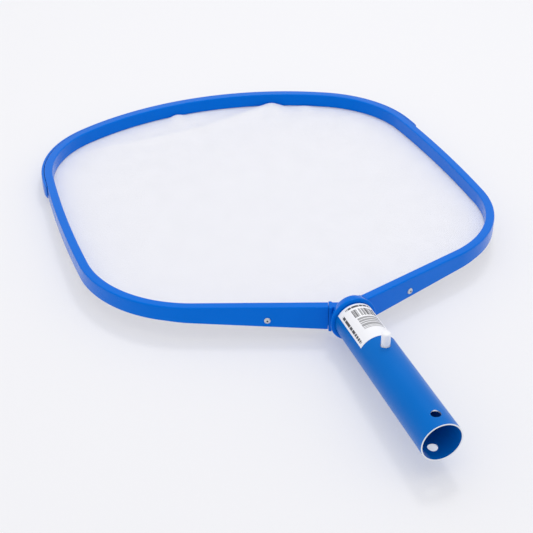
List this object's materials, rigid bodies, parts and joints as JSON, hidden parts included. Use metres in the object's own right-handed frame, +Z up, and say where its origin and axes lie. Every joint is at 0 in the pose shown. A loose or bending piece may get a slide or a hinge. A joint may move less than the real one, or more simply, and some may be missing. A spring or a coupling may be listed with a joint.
{
  "type": "leaf skimmer net",
  "caption": "Flat pool net in a rounded five-sided rim, on a short round handle tube with spring buttons that lock it into a telescopic pole.",
  "frame": {"origin": "centre of the skimmer's bounding box, on the surface that its lower button and the rim's front edge rest on", "axes": "+Y runs forward from the handle tube to the rim's leading edge, +X to the right, +Z up; the whole skimmer tips forward by 2.6 degrees because the lower button holds the tube up"},
  "size_m": [0.34, 0.5124, 0.0487],
  "materials": {
    "rim_plastic": "glossy blue moulded plastic",
    "strip_plastic": "glossy blue moulded plastic",
    "net_mesh": "fine white knitted mesh",
    "bead_cord": "plain white cord in a folded hem",
    "hub_plastic": "glossy blue moulded plastic",
    "tube_finish": "satin blue coat, bare at the cut end",
    "clip_plastic": "white moulded plastic",
    "rivet_metal": "bright drawn aluminium",
    "mandrel_steel": "dull broken steel stem",
    "label_paper": "white paper with plain printed bars"
  },
  "bodies": {
    "skimmer": {"rim": "rim_plastic", "leading_edge_strip": "strip_plastic", "net": "net_mesh", "net_bead": "bead_cord", "hub": "hub_plastic", "handle_tube": "tube_finish", "upper_leaf": "clip_plastic", "lower_leaf": "clip_plastic", "clip_bend": "clip_plastic", "right_rivet": "rivet_metal", "right_rivet_mandrel": "mandrel_steel", "left_rivet": "rivet_metal", "left_rivet_mandrel": "mandrel_steel", "tube_rivet": "rivet_metal", "tube_rivet_mandrel": "mandrel_steel", "label": "label_paper"},
    "upper_button": {"upper_button": "clip_plastic"},
    "lower_button": {"lower_button": "clip_plastic"}
  },
  "joints": [
    {"name": "upper_button_press", "type": "slide", "parent": "skimmer", "child": "upper_button", "axis": [0, -0.0459, -0.9989], "range_m": [0, 0.0097], "stiffness_N_per_m": 1500, "springref_m": -0.002, "deforming": ["upper_leaf"]},
    {"name": "lower_button_press", "type": "slide", "parent": "skimmer", "child": "lower_button", "axis": [0, 0.0459, 0.9989], "range_m": [0, 0.0097], "stiffness_N_per_m": 1500, "springref_m": -0.002, "deforming": ["lower_leaf"]}
  ]
}
